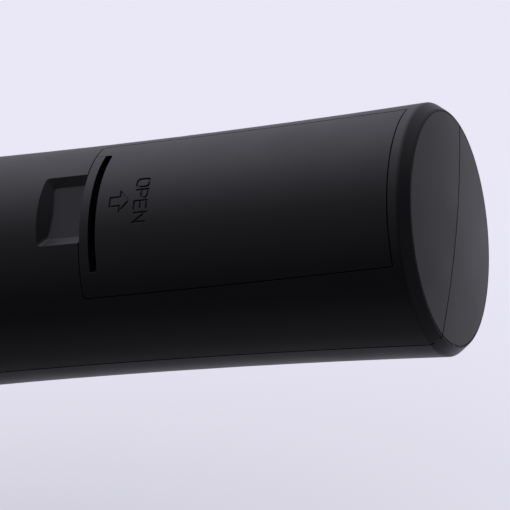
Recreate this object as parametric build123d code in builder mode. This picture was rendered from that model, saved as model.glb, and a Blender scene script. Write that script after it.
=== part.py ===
"""Handheld wireless microphone transmitter, lying on its back with the battery door up.

The handle's axis is X. The tail points to +X, the grille to -X and the battery door to +Z.
The origin is on the handle's axis, half way along the whole object. All sizes are millimetres.
A station is a distance from the tail's crease towards the grille.
"""
from build123d import *
import os

os.makedirs("parts", exist_ok=True)

# ---------------------------------------------------------------- driving dimensions
# handle outline
tail_radius = 23.0            # at the tail's crease
waist_radius = 21.58          # thinnest place of the handle
waist_station = 71.0
neck_radius = 24.2            # where the handle meets the head collar
neck_margin = 9.5             # from the control board's end to the head collar
head_length = 71.03           # from the handle's end to the grille's top
chamfer_length = 1.92         # bevel between the handle and the end face
rim_radius = 21.57            # edge of the end face
crease_round = 0.8            # rounding between the handle and the bevel
rim_round = 0.35              # rounding between the bevel and the end face
face_line_inset = 0.32        # fine line around the end face, from its edge
face_line_radius = 0.14
dome_height = 1.05            # how far the end face bulges
wall = 2.0
tail_wall = 3.2               # thickness of the end face at its edge
parting_gap = 0.32            # shadow line between the two half shells
parting_depth = 0.45

# battery door
door_start = 1.96             # station of the edge by the tail
door_overrun = 2.0            # from the battery bay's end to the door's pocket edge
door_half_width = 15.57
door_end_bow = 0.4            # how far the pocket edge bows in at its middle
door_corner = 0.6
door_thickness = 1.8
door_gap = 0.2
door_underside_gap = 0.1
door_tab_reach = 1.3          # how far the hinge tabs reach under the rim
tab_root = 1.6                # how far the tabs' roots run back under the door
tab_depth = 3.1               # of the tabs' undersides, below the surface
tab_gap = 0.15
tab_neck_bite = 0.3           # how far the tabs' necks run into the door
door_tab_width = 5.0
door_tab_spacing = 11.0
seat_depth = 1.2              # extra wall under the door's edge
seat_width = 0.85             # ledge that the door's edge rests on
seat_margin = 1.6             # extra wall around the opening
seat_drop = 1.0               # how far the extra wall runs down past the battery tray's top
seat_bite = 0.2               # how far it runs into the handle's wall

foam_pad_thickness = 0.4
foam_half_width = 9.5
foam_inset = 15.0             # from the battery bay's ends

# latch strip at the door's pocket edge
strip_width = 2.1
slot_width = 1.45
slot_half_length = 12.0
slot_corner = 0.65
strip_clearance = 0.05

# finger pocket
pocket_length = 6.3           # of its floor
pocket_half_width = 5.3       # of its floor
pocket_floor_depth = 2.1
pocket_end_run = 2.3          # from the floor's end to the end wall's rim
pocket_end_axis = -10.0       # height of the axis that the end wall turns around
pocket_side_slope = 1.9       # sideways run of a side wall for each millimetre of depth
pocket_corner = 1.2
pocket_floor_round = 0.5

# engraved mark on the door
mark_depth = 0.25
mark_line = 0.36
letter_height = 2.45
letter_width = 1.75
letter_pitch = 2.34
mark_inset = 11.1             # from the door's pocket edge to the letters' feet
arrow_gap = 1.2               # from the letters' feet to the arrow's tip
arrow_length = 3.75
arrow_head_length = 1.75
arrow_half_width = 1.95
arrow_stem_half_width = 0.9

# cells: two AA side by side
cell_radius = 7.25
cell_length = 50.5
nub_radius = 2.75
nub_length = 1.3
cell_spacing = 14.8
cell_height = 9.5             # cell axis above the parting plane
bay_start = 4.9               # station of the bay's tail wall, inside
spring_room = 3.85            # length of a contact spring with the cell in
cell_corner = 0.6
cell_clearance = 0.2
tray_wall = 1.3
tray_half_width = 15.6
tray_top = 9.6
tray_end_half_width = 11.3
tray_end_top = 13.8
contact_thickness = 0.4
contact_width = 10.0
contact_height = 9.0
contact_gap = 0.05
spring_radius = 2.9
spring_wire = 0.35
spring_turns = 3.0

# main board, below the cells and under the parting plane
board_thickness = 1.6
board_half_width = 12.5
board_start = 6.0
board_margin = 8.0            # from the main board's end to the head collar

# control board, under the controls
control_board_bottom = 12.4
control_board_thickness = 1.2
control_board_half_width = 12.3
control_board_offset = 23.9   # from the door to the control board
control_board_length = 70.5

# fasteners
screw_radius = 1.0
screw_head_radius = 1.9
screw_head_height = 1.3
boss_wall = 1.15
screw_fit = 0.1
drive_length = 2.2            # cross recess in a screw's head
drive_width = 0.5
drive_depth = 0.6
tail_screw_station = 9.0
waist_screw_offset = 3.9      # from the door's edge
neck_screw_margin = 16.0      # from the head collar
side_screw_y = 15.6
side_boss_gap = 0.15          # between the battery tray and the bosses beside it
shell_screw_bite = 6.0        # length in the front shell's boss
shell_screw_seat = 3.4        # plastic under the head
shell_pilot_spare = 1.0       # room past a screw's tip
tray_screw_bite = 4.5         # length of a tray screw in its boss
tray_pilot_depth = 6.0
board_screw_bite = 4.0
board_pilot_depth = 5.0
control_screw_bite = 3.6
control_pilot_depth = 4.0
tray_screw_inset = 13.1       # from the battery bay's ends
board_screw_offset = 7.9      # from the door's edge
board_screw_margin = 20.0     # from the head collar
board_screw_y = 9.5
control_screw_inset = 3.5     # from the control board's grille end
control_screw_tail_inset = 8.0
control_screw_y = 10.3

# display
display_offset = 42.0         # its middle, from the control board's tail end
window_length = 20.0
window_width = 13.0
window_corner = 1.5
window_thickness = 1.3
window_gap = 0.12
window_seat_gap = 0.03
window_ledge = 0.8
module_length = 24.0
module_width = 16.5
module_height = 4.0

# mute slider
slider_offset = 17.0          # middle of the cap at rest, from the control board's tail end
slider_travel = 4.0           # towards the grille
slider_length = 7.0
slider_width = 6.4
slider_rise = 0.9             # above the handle
slider_sink = 1.0             # below the handle's surface
slider_corner = 1.0
slider_recess = 1.35
slider_recess_corner = 2.0
slider_margin = 0.5
slider_stem = 2.0
slider_stem_gap = 0.3
slider_stem_bite = 0.3        # how far the stem runs into the cap
slider_foot_height = 0.7
grip_grooves = 3
grip_pitch = 1.6
grip_width = 0.7
grip_depth = 0.5
switch_length = 12.0
switch_width = 6.0
switch_height = 3.5
lever_size = 1.6
lever_gap = 0.15
lever_sink = 1.2
lever_rise = 1.5              # above the switch

# push buttons
button_offset = 60.0          # from the control board's tail end
button_spacing = 9.6
button_radius = 2.9
button_gap = 0.15
button_rise = 0.5
button_travel = 0.6
button_flange_radius = 3.7
button_flange_height = 0.9
button_flange_top = 19.0      # height of the flange's upper face
tact_size = 6.2
tact_height = 3.5
plunger_radius = 1.6
plunger_gap = 0.05
plunger_sink = 0.9

# status light
light_offset = 3.5            # from the control board's tail end
light_radius = 1.1
light_rise = 0.15
light_gap = 0.05
led_size = 2.0
led_height = 1.1
led_gap = 0.1
pipe_collar_offset = 3.0      # from the light pipe's foot
pipe_collar_height = 0.8
pipe_collar_reach = 0.6

# boards' parts
shield_offset = 12.0          # from the control board's tail end
shield_length = 40.0
shield_half_width = 10.5
shield_height = 3.4
shield_wall = 0.3
chip_size = 7.0
chip_height = 1.2
chip_pitch = 10.0
chip_count = 3
header_offset = 2.8           # from the control board's tail end
header_length = 4.8
header_width = 17.8
header_rail = 3.0
pin_rows = 2
pin_columns = 8
pin_size = 0.64
pin_pitch = 2.0
carrier_start = 10.0
carrier_length = 40.0
carrier_depth = 5.4           # under the main board
carrier_room = 6.0            # clear width inside
carrier_boss_gap = 1.0
carrier_wall = 1.2
antenna_thickness = 0.3
antenna_side_inset = 1.0
antenna_end_inset = 6.0

# head collar, between the handle and the grille
spigot_clearance = 0.7        # between the spigot and the handle's wall, at the handle's end
collar_wall = 3.0             # of the spigot
spigot_length = 8.0
spigot_rib_margin = 6.0       # from the handle's end
spigot_rib_width = 1.6
spigot_rib_reach = 0.9
rib_gap = 0.1
collar_flange_length = 2.4
collar_flange_step = 0.2      # how far the flange stands out past the handle
collar_seat_step = 1.5        # from the flange's edge down to the anti-roll ring's seat
collar_edge = 0.5
ring_width = 9.6              # of the anti-roll ring
ring_reach = 3.1              # how far its flats stand out past the flange
ring_sides = 8
ring_corner = 2.0
ring_edge = 1.0
ring_fit = 0.05
thread_step = 2.6             # from the flange's edge down to the thread
thread_length = 6.0
thread_gap = 0.08
thread_end_room = 0.5
gasket_thickness = 0.4
gasket_slack = 0.02

# grille
grille_ring_length = 9.6
grille_ring_step = 0.6        # how far the ring stands out past the mesh's foot
grille_ring_lip = 1.2         # how far its lip reaches in past the thread
grille_ring_edge = 0.4
mesh_thickness = 0.5
mesh_flare = 1.0              # how much wider the mesh is at the band than at its foot
mesh_bulge = 0.35
band_width = 5.0
band_offset = 45.0            # its middle, from the handle's end
band_step = 0.6               # how far the band stands out past the mesh
band_edge = 0.5
foam_gap = 0.1
foam_thickness = 2.5

# capsule
capsule_radius = 12.4
capsule_corner = 0.6
capsule_offset = 28.0         # its base, from the handle's end
capsule_length = 20.0
capsule_cap_length = 5.0
capsule_cap_radius = 13.2
capsule_cap_edge = 1.0
capsule_hole_radius = 1.0
capsule_hole_depth = 4.0
capsule_hole_rings = ((8.0, 12), (4.0, 6))  # radius of each ring of holes, and their number
mount_radius = 17.4
mount_width = 6.0
mount_offset = 4.0            # from the capsule's base
carrier_tube_radius = 18.4
carrier_tube_offset = 8.0     # from the handle's end
carrier_tube_wall = 1.0
carrier_floor = 2.0
carrier_floor_bore = 8.0
lead_radius = 0.6
lead_spacing = 5.0
lead_landing = 9.5            # length of the leads on the main board

# ---------------------------------------------------------------- derived places
bay_length = cell_length + spring_room + 2 * contact_thickness + contact_gap
bay_end = bay_start + bay_length
door_end = bay_end + door_overrun
control_board_start = door_end + control_board_offset
control_board_end = control_board_start + control_board_length
neck_station = control_board_end + neck_margin
head_end = neck_station + head_length
total_length = chamfer_length + dome_height + head_end
crease_x = total_length / 2 - chamfer_length - dome_height
board_end = neck_station - board_margin
display_station = control_board_start + display_offset
slider_station = control_board_start + slider_offset
button_station = control_board_start + button_offset
light_station = control_board_start + light_offset
header_station = control_board_start + header_offset
shield_start = control_board_start + shield_offset
shield_end = shield_start + shield_length
carrier_end = carrier_start + carrier_length
spigot_rib_station = neck_station - spigot_rib_margin
band_station = neck_station + band_offset
capsule_base_station = neck_station + capsule_offset
carrier_tube_start = neck_station + carrier_tube_offset
lead_start = board_end - lead_landing
tray_screw_stations = (bay_start + tray_screw_inset, bay_end - tray_screw_inset)
board_screw_stations = (door_end + board_screw_offset, neck_station - board_screw_margin)
control_screw_stations = (
    control_board_start + control_screw_tail_inset,
    control_board_end - control_screw_inset,
)
cavity_start = tail_wall - chamfer_length
collar_flange_radius = neck_radius + collar_flange_step
collar_seat_radius = collar_flange_radius - collar_seat_step
spigot_radius = neck_radius - wall - spigot_clearance
collar_bore = spigot_radius - collar_wall
ring_half_flats = collar_flange_radius + ring_reach
thread_radius = collar_flange_radius - thread_step
grille_ring_bore = thread_radius - grille_ring_lip
mesh_base_radius = collar_flange_radius
mesh_radius = mesh_base_radius + mesh_flare
grille_ring_radius = mesh_base_radius + grille_ring_step
band_radius = mesh_radius + band_step
board_bottom = -board_thickness
control_board_top = control_board_bottom + control_board_thickness
collar_start = neck_station
ring_start = collar_start + collar_flange_length
ring_end = ring_start + ring_width
thread_end = ring_end + thread_length
boss_radius = screw_radius + boss_wall
tail_screw_y = tray_half_width + boss_radius + side_boss_gap
far = 40.0                    # past every surface of the object


def x_at(station):
    """X of a station."""
    return crease_x - station


def handle_radius(station):
    """Outer radius of the handle at a station: two parabolas that meet at the waist."""
    if station < waist_station:
        share = 1 - station / waist_station
        return waist_radius + (tail_radius - waist_radius) * share**2
    share = (station - waist_station) / (neck_station - waist_station)
    return waist_radius + (neck_radius - waist_radius) * share**2


def handle_curves(inset, start, end):
    """Draw the handle's outline from one station to another, a depth under its surface."""
    start_point = (x_at(start), handle_radius(start) - inset)
    waist_point = (x_at(waist_station), waist_radius - inset)
    end_point = (x_at(end), handle_radius(end) - inset)
    tail_control = (x_at((start + waist_station) / 2), waist_radius - inset)
    neck_control = (x_at((end + waist_station) / 2), waist_radius - inset)
    Bezier(start_point, tail_control, waist_point)
    Bezier(waist_point, neck_control, end_point)
    return start_point, end_point


def handle_form(inset, start=0.0, end=neck_station):
    """Solid of revolution that follows the handle, a depth under its surface."""
    with BuildPart() as form:
        with BuildSketch(Plane.XZ):
            with BuildLine():
                start_point, end_point = handle_curves(inset, start, end)
                Polyline(end_point, (x_at(end), 0), (x_at(start), 0), start_point)
            make_face()
        revolve(axis=Axis.X)
    return form.part


def skin(outer_inset, inner_inset):
    """Layer of the handle between two depths under its surface."""
    with BuildPart() as layer:
        add(handle_form(outer_inset))
        add(handle_form(inner_inset), mode=Mode.SUBTRACT)
    return layer.part


def block(start, end, y_low, y_high, z_low, z_high, mode=Mode.ADD):
    """Box between two stations, added to the part in work."""
    middle = (x_at((start + end) / 2), (y_low + y_high) / 2, (z_low + z_high) / 2)
    with Locations(middle):
        Box(end - start, y_high - y_low, z_high - z_low, mode=mode)


def post(station, y, z_low, z_high, radius, mode=Mode.ADD):
    """Upright cylinder at a station, added to the part in work."""
    with Locations((x_at(station), y, z_low)):
        Cylinder(radius, z_high - z_low, align=(Align.CENTER, Align.CENTER, Align.MIN), mode=mode)


def ring_form(start, end, outer, inner):
    """Ring around the handle's axis between two stations."""
    with BuildPart() as ring:
        with BuildSketch(Plane.XZ):
            with Locations((x_at((start + end) / 2), (outer + inner) / 2)):
                Rectangle(end - start, outer - inner)
        revolve(axis=Axis.X)
    return ring.part


def rims_of(part, radius):
    """Round edges of a part that have a radius."""
    circles = part.edges().filter_by(GeomType.CIRCLE)
    return circles.filter_by(lambda rim: abs(rim.radius - radius) < 0.01)


def screw(station, y, z_seat, length, up):
    """Pan-head screw at a station, its head seated at a height, added to the part in work."""
    way = 1 if up else -1
    post(station, y, *sorted((z_seat, z_seat + way * length)), screw_radius)
    post(station, y, *sorted((z_seat, z_seat - way * screw_head_height)), screw_head_radius)
    crown = z_seat - way * screw_head_height
    for across, along in ((drive_length, drive_width), (drive_width, drive_length)):
        with Locations((x_at(station), y, crown)):
            Box(across, along, 2 * drive_depth, mode=Mode.SUBTRACT)


# ---------------------------------------------------------------- outlines on the door side
def door_outline(grow):
    """Sketch of the battery door seen from above, larger by a gap all round."""
    tail_x = x_at(door_start)
    pocket_x = x_at(door_end)
    with BuildSketch(Plane.XY) as outline:
        with BuildLine():
            ThreePointArc(
                (pocket_x, -door_half_width),
                (pocket_x + door_end_bow, 0),
                (pocket_x, door_half_width),
            )
            Polyline(
                (pocket_x, door_half_width),
                (tail_x, door_half_width),
                (tail_x, -door_half_width),
                (pocket_x, -door_half_width),
            )
        make_face()
        fillet(outline.vertices().group_by(Axis.X)[0], radius=door_corner)
        if grow:
            offset(amount=grow, kind=Kind.INTERSECTION)
    return outline.sketch


def rounded_prism(station, y, length, width, corner, z_low, z_high):
    """Upright prism with rounded corners."""
    with BuildPart() as prism:
        with BuildSketch(Plane.XY.offset(z_low)):
            with Locations((x_at(station), y)):
                RectangleRounded(length, width, corner)
        extrude(amount=z_high - z_low)
    return prism.part


def pocket_end_form(start, floor_end, low, floor_height, high):
    """Solid that a cone bounds towards the grille, so that the pocket's rim runs around the handle."""
    slope = pocket_end_run / pocket_floor_depth
    low_end, high_end = (floor_end + (height - floor_height) * slope for height in (low, high))
    with BuildPart() as form:
        with BuildSketch(Plane.XZ):
            with BuildLine():
                Polyline(
                    (x_at(start), low), (x_at(low_end), low), (x_at(high_end), high), (x_at(start), high),
                    close=True,
                )
            make_face()
        revolve(axis=Axis((0, 0, pocket_end_axis), (1, 0, 0)))
    return form.part


def pocket_form():
    """Finger pocket: a flat floor, side walls that slope outwards and a conical end wall."""
    floor_height = waist_radius - pocket_floor_depth
    high = waist_radius + 1.0
    start = door_end - door_gap - door_end_bow
    floor_end = door_end + pocket_length
    with BuildPart() as pocket:
        for height in (floor_height, high):
            half_width = pocket_half_width + (height - floor_height) * pocket_side_slope
            with BuildSketch(Plane.XY.offset(height)):
                with Locations((x_at((start + floor_end + far) / 2), 0)):
                    Rectangle(floor_end + far - start, 2 * half_width)
        loft(ruled=True)
        end_form = pocket_end_form(start, floor_end, floor_height - pocket_floor_depth, floor_height, high)
        add(end_form, mode=Mode.INTERSECT)
        end_edges = pocket.edges().filter_by_position(Axis.X, x_at(floor_end + far), x_at(floor_end - 1))
        corners = [edge for edge in end_edges if abs((edge @ 0).Z - (edge @ 1).Z) > 1.0]
        fillet(corners, radius=pocket_corner)
        floor_edges = pocket.edges().group_by(Axis.Z)[0]
        fillet(floor_edges.sort_by(Axis.X)[:-1], radius=pocket_floor_round)
    return pocket.part


def letter_strokes(letter, base_x, centre_y):
    """Draw one letter, its top towards the tail, reading towards -Y."""
    def place(across, up):
        return (base_x + up * letter_height, centre_y + (0.5 - across) * letter_width)

    if letter == "O":
        with Locations((base_x + letter_height / 2, centre_y)):
            RectangleRounded(letter_height + mark_line, letter_width + mark_line, letter_width * 0.4)
            RectangleRounded(
                letter_height - mark_line, letter_width - mark_line, letter_width * 0.3, mode=Mode.SUBTRACT
            )
        return
    strokes = {
        "P": [[(0, 0), (0, 1), (0.7, 1), (1, 0.87), (1, 0.61), (0.7, 0.48), (0, 0.48)]],
        "E": [[(1, 0), (0, 0), (0, 1), (1, 1)], [(0, 0.5), (0.85, 0.5)]],
        "N": [[(0, 0), (0, 1), (1, 0), (1, 1)]],
    }
    for stroke in strokes[letter]:
        with BuildLine(mode=Mode.PRIVATE) as path:
            Polyline(*[place(across, up) for across, up in stroke])
        trace(path.edges(), line_width=mark_line)


def mark_form():
    """Word and arrow that show which way the latch is pushed, as cutting solids."""
    letters_x = x_at(door_end - mark_inset)
    with BuildPart() as mark:
        with BuildSketch(Plane.XY.offset(waist_radius / 2)):
            for place, letter in enumerate("OPEN"):
                centre_y = (1.5 - place) * letter_pitch
                letter_strokes(letter, letters_x, centre_y)
            tip = letters_x - arrow_gap
            neck = tip - arrow_head_length
            back = tip - arrow_length
            with BuildLine(mode=Mode.PRIVATE) as arrow:
                Polyline(
                    (tip, 0),
                    (neck, arrow_half_width),
                    (neck, arrow_stem_half_width),
                    (back, arrow_stem_half_width),
                    (back, -arrow_stem_half_width),
                    (neck, -arrow_stem_half_width),
                    (neck, -arrow_half_width),
                    close=True,
                )
            trace(arrow.edges(), line_width=mark_line)
        extrude(amount=tail_radius)
        add(handle_form(mark_depth), mode=Mode.SUBTRACT)
    return mark.part


# ---------------------------------------------------------------- the two half shells
def whole_shell():
    """Hollow handle before it is split, with its bevel and bulged end face."""
    rim = (x_at(-chamfer_length), rim_radius)
    apex = (x_at(-chamfer_length - dome_height), 0)
    with BuildPart() as shell:
        with BuildSketch(Plane.XZ):
            with BuildLine():
                start_point, end_point = handle_curves(0, 0, neck_station)
                Line(start_point, rim)
                TangentArc(apex, rim, tangent=(0, 1))
                Polyline(apex, (x_at(neck_station), 0), end_point)
            make_face()
        revolve(axis=Axis.X)
        fillet(rims_of(shell, tail_radius), radius=crease_round)
        fillet(rims_of(shell, rim_radius), radius=rim_round)
        with Locations(Location((rim[0], 0, 0), (0, 90, 0))):
            Torus(rim_radius - face_line_inset, face_line_radius, mode=Mode.SUBTRACT)
        add(handle_form(wall, start=cavity_start), mode=Mode.SUBTRACT)
        add(ring_form(spigot_rib_station, spigot_rib_station + spigot_rib_width, spigot_radius + wall / 2,
                      spigot_radius - spigot_rib_reach))
    return shell.part


def parting_groove():
    """Thin slab that opens a shadow line around the parting plane."""
    with BuildPart() as groove:
        block(-far, neck_station + far, -far, far, -parting_gap / 2, parting_gap / 2)
        add(handle_form(parting_depth, start=-chamfer_length + parting_depth), mode=Mode.SUBTRACT)
    return groove.part


def shell_bosses(upper):
    """Screw bosses of one half shell, up to the parting plane."""
    low, high = (0, far) if upper else (-far, 0)
    with BuildPart() as bosses:
        for station, y in shell_screw_places:
            post(station, y, low, high, boss_radius)
        if not upper:
            for station in tray_screw_stations:
                post(station, 0, low, board_bottom, boss_radius)
            for station in board_screw_stations:
                for side in (-1, 1):
                    post(station, side * board_screw_y, low, board_bottom, boss_radius)
        else:
            for station in control_screw_stations:
                for side in (-1, 1):
                    post(station, side * control_screw_y, control_board_top, high, boss_radius)
        add(handle_form(wall / 2), mode=Mode.INTERSECT)
    return bosses.part


shell_screw_places = [
    (station, side * y)
    for station, y in (
        (tail_screw_station, tail_screw_y),
        (door_end + waist_screw_offset, side_screw_y),
        (neck_station - neck_screw_margin, side_screw_y),
    )
    for side in (-1, 1)
]
door_opening = door_outline(door_gap)
door_plan = door_outline(0)
shell_form = whole_shell()
groove_form = parting_groove()

def tab_layer(grow, top_depth, bottom_depth):
    """Both hinge tabs under the rim as one curved layer, larger by a gap all round."""
    half_tab = door_tab_width / 2 + grow
    with BuildPart() as tabs:
        for side in (-1, 1):
            tab_y = side * door_tab_spacing / 2
            block(door_start - door_tab_reach - grow, door_start + tab_root, tab_y - half_tab,
                  tab_y + half_tab, tray_end_top, far)
        add(skin(top_depth, min(bottom_depth, tail_radius / 2)), mode=Mode.INTERSECT)
    return tabs.part


with BuildPart() as seat_pad:
    add(skin(wall - seat_bite, wall + seat_depth))
    with BuildPart(mode=Mode.PRIVATE) as pad_zone:
        pad_half_width = door_half_width + seat_margin
        block(cavity_start, door_end + pocket_length + pocket_end_run + seat_margin, -pad_half_width,
              pad_half_width, tray_top - seat_drop, far)
    add(pad_zone.part, mode=Mode.INTERSECT)

with BuildPart() as door_recess:
    with BuildSketch(Plane.XY.offset(tray_top)):
        add(door_opening)
    extrude(amount=far)
    add(handle_form(door_thickness + door_underside_gap), mode=Mode.SUBTRACT)

with BuildPart() as slider_recess_form:
    recess_middle = slider_station + slider_travel / 2
    recess_length = slider_length + slider_travel + 2 * slider_margin
    add(rounded_prism(recess_middle, 0, recess_length, slider_width + 2 * slider_margin,
                      slider_recess_corner, waist_radius / 2, far))
    add(handle_form(slider_recess), mode=Mode.SUBTRACT)

with BuildPart() as window_recess:
    add(rounded_prism(display_station, 0, window_length + 2 * window_gap, window_width + 2 * window_gap,
                      window_corner + window_gap, waist_radius / 2, far))
    add(handle_form(window_thickness), mode=Mode.SUBTRACT)

with BuildPart() as front_shell:
    add(shell_form)
    split(bisect_by=Plane.XY, keep=Keep.TOP)
    add(seat_pad.part)
    add(shell_bosses(upper=True))
    add(door_recess.part, mode=Mode.SUBTRACT)
    inner_half = door_half_width - seat_width
    block(door_start + tab_root, door_end - seat_margin, -inner_half, inner_half, tray_top - seat_drop,
          far, mode=Mode.SUBTRACT)
    add(pocket_form(), mode=Mode.SUBTRACT)
    add(tab_layer(tab_gap, door_thickness - tab_gap, far), mode=Mode.SUBTRACT)
    add(groove_form, mode=Mode.SUBTRACT)
    # controls
    add(slider_recess_form.part, mode=Mode.SUBTRACT)
    stem_room = slider_stem / 2 + slider_stem_gap
    block(slider_station - stem_room, slider_station + slider_travel + stem_room, -stem_room, stem_room,
          control_board_top, far, mode=Mode.SUBTRACT)
    add(window_recess.part, mode=Mode.SUBTRACT)
    add(rounded_prism(display_station, 0, window_length - 2 * window_ledge,
                      window_width - 2 * window_ledge, window_corner, waist_radius / 2, far),
        mode=Mode.SUBTRACT)
    for side in (-1, 1):
        post(button_station, side * button_spacing / 2, waist_radius / 2, far,
             button_radius + button_gap, mode=Mode.SUBTRACT)
    post(light_station, 0, waist_radius / 2, far, light_radius + light_gap, mode=Mode.SUBTRACT)
    # pilot holes
    for station, y in shell_screw_places:
        post(station, y, 0, shell_screw_bite + shell_pilot_spare, screw_radius, mode=Mode.SUBTRACT)
    for station in control_screw_stations:
        for side in (-1, 1):
            post(station, side * control_screw_y, control_board_top,
                 control_board_top + control_pilot_depth, screw_radius, mode=Mode.SUBTRACT)

with BuildPart() as rear_shell:
    add(shell_form)
    split(bisect_by=Plane.XY, keep=Keep.BOTTOM)
    add(shell_bosses(upper=False))
    add(groove_form, mode=Mode.SUBTRACT)
    for station, y in shell_screw_places:
        post(station, y, -far, 0, screw_radius + screw_fit, mode=Mode.SUBTRACT)
        post(station, y, -far, -shell_screw_seat, screw_head_radius + screw_fit, mode=Mode.SUBTRACT)
    for station in tray_screw_stations:
        post(station, 0, board_bottom - tray_pilot_depth, board_bottom, screw_radius, mode=Mode.SUBTRACT)
    for station in board_screw_stations:
        for side in (-1, 1):
            post(station, side * board_screw_y, board_bottom - board_pilot_depth, board_bottom,
                 screw_radius, mode=Mode.SUBTRACT)

with BuildPart() as shell_screws:
    for station, y in shell_screw_places:
        screw(station, y, -shell_screw_seat, shell_screw_seat + shell_screw_bite, up=True)

# ---------------------------------------------------------------- battery door
strip_start = door_end - strip_width
with BuildPart() as door_layer:
    with BuildSketch(Plane.XY.offset(tray_top)):
        add(door_plan)
    extrude(amount=far)
    add(skin(0, door_thickness), mode=Mode.INTERSECT)

with BuildPart() as battery_door:
    add(door_layer.part)
    add(rounded_prism(strip_start - slot_width / 2, 0, slot_width, 2 * slot_half_length, slot_corner,
                      tray_top, far), mode=Mode.SUBTRACT)
    block(strip_start - slot_width / 2, door_end + strip_width, -slot_half_length, slot_half_length,
          tray_top, far, mode=Mode.SUBTRACT)
    add(mark_form(), mode=Mode.SUBTRACT)
    add(tab_layer(0, door_thickness + tab_gap / 2, tab_depth))
    with BuildPart(mode=Mode.PRIVATE) as necks:
        add(tab_layer(0, door_thickness - tab_neck_bite, tab_depth))
        block(-far, door_start, -far, far, 0, far, mode=Mode.SUBTRACT)
    add(necks.part)

with BuildPart() as door_latch:
    add(door_layer.part)
    with BuildPart(mode=Mode.PRIVATE) as strip_zone:
        half = slot_half_length - strip_clearance
        block(strip_start, door_end + strip_width, -half, half, tray_top, far)
    add(strip_zone.part, mode=Mode.INTERSECT)

with BuildPart() as door_foam_pad:
    add(skin(door_thickness, door_thickness + foam_pad_thickness))
    with BuildPart(mode=Mode.PRIVATE) as foam_zone:
        block(bay_start + foam_inset, bay_end - foam_inset, -foam_half_width, foam_half_width, tray_top, far)
    add(foam_zone.part, mode=Mode.INTERSECT)

# ---------------------------------------------------------------- battery bay
cell_y = cell_spacing / 2
tray_floor = cell_height - cell_radius - cell_clearance
link_face = bay_start + contact_thickness
plate_face = bay_end - contact_thickness


def lengthwise(start, end, y, z, radius, mode=Mode.ADD):
    """Cylinder along the handle between two stations, added to the part in work."""
    with Locations(Location((x_at((start + end) / 2), y, z), (0, 90, 0))):
        Cylinder(radius, abs(end - start), mode=mode)


def cell_form(y, positive, way):
    """Cell whose nub tip is at a station; the can lies that way from it."""
    shoulder = positive + way * nub_length
    with BuildPart() as cell:
        lengthwise(*sorted((shoulder, positive + way * cell_length)), y, cell_height, cell_radius)
        fillet(cell.edges(), radius=cell_corner)
        lengthwise(*sorted((positive, shoulder)), y, cell_height, nub_radius)
    return cell.part


def contact_spring(start, end, y):
    """Coil spring between a contact plate and the flat end of a cell."""
    height = abs(end - start) - 2 * spring_wire
    with BuildPart() as spring:
        with BuildLine() as path:
            Helix(
                height / spring_turns,
                height,
                spring_radius,
                center=(x_at(max(start, end) - spring_wire), y, cell_height),
                direction=(1, 0, 0),
            )
        with BuildSketch(Plane(origin=path.line @ 0, z_dir=path.line % 0)):
            Circle(spring_wire)
        sweep(is_frenet=True)
    return spring.part


def contact_plate(start, y_low, y_high):
    """Flat contact on an end wall of the battery bay."""
    with BuildPart() as plate:
        block(start, start + contact_thickness, y_low, y_high, cell_height - contact_height / 2,
              cell_height + contact_height / 2)
    return plate.part


with BuildPart() as battery_tray:
    block(bay_start - tray_wall, bay_end + tray_wall, -tray_half_width, tray_half_width, 0, tray_top)
    for side in (-1, 1):
        lengthwise(bay_start, bay_end, side * cell_y, cell_height, cell_radius + cell_clearance,
                   mode=Mode.SUBTRACT)
    block(bay_start, bay_end, -cell_y, cell_y, cell_height - contact_height / 2, tray_top,
          mode=Mode.SUBTRACT)
    for start in (bay_start - tray_wall, bay_end):
        block(start, start + tray_wall, -tray_end_half_width, tray_end_half_width, 0, tray_end_top)
    for station in tray_screw_stations:
        post(station, 0, tray_floor, tray_top, screw_head_radius + screw_fit, mode=Mode.SUBTRACT)
        post(station, 0, 0, tray_floor, screw_radius + screw_fit, mode=Mode.SUBTRACT)

with BuildPart() as tray_screws:
    for station in tray_screw_stations:
        screw(station, 0, tray_floor, tray_floor + board_thickness + tray_screw_bite, up=False)

battery_cell_a = cell_form(cell_y, plate_face - contact_gap, -1)
battery_cell_b = cell_form(-cell_y, link_face + contact_gap, 1)
link_plate = contact_plate(bay_start, -cell_y - contact_width / 2, cell_y + contact_width / 2)
positive_plate = contact_plate(plate_face, cell_y - contact_width / 2, cell_y + contact_width / 2)
negative_plate = contact_plate(plate_face, -cell_y - contact_width / 2, -cell_y + contact_width / 2)
link_spring = contact_spring(link_face, plate_face - contact_gap - cell_length, cell_y)
negative_spring = contact_spring(link_face + contact_gap + cell_length, plate_face, -cell_y)

# ---------------------------------------------------------------- boards
with BuildPart() as main_board:
    block(board_start, board_end, -board_half_width, board_half_width, board_bottom, 0)
    for station in tray_screw_stations:
        post(station, 0, board_bottom, 0, screw_radius + screw_fit, mode=Mode.SUBTRACT)
    for station in board_screw_stations:
        for side in (-1, 1):
            post(station, side * board_screw_y, board_bottom, 0, screw_radius + screw_fit,
                 mode=Mode.SUBTRACT)

with BuildPart() as board_screws:
    for station in board_screw_stations:
        for side in (-1, 1):
            screw(station, side * board_screw_y, 0, board_thickness + board_screw_bite, up=False)

with BuildPart() as rf_shield_can:
    block(shield_start, shield_end, -shield_half_width, shield_half_width, 0, shield_height)
    block(shield_start + shield_wall, shield_end - shield_wall, -shield_half_width + shield_wall,
          shield_half_width - shield_wall, 0, shield_height - shield_wall, mode=Mode.SUBTRACT)

with BuildPart() as board_chips:
    for place in range(chip_count):
        station = shield_start + (place + 1) * chip_pitch
        block(station - chip_size / 2, station + chip_size / 2, -chip_size / 2, chip_size / 2, 0,
              chip_height)

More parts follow.
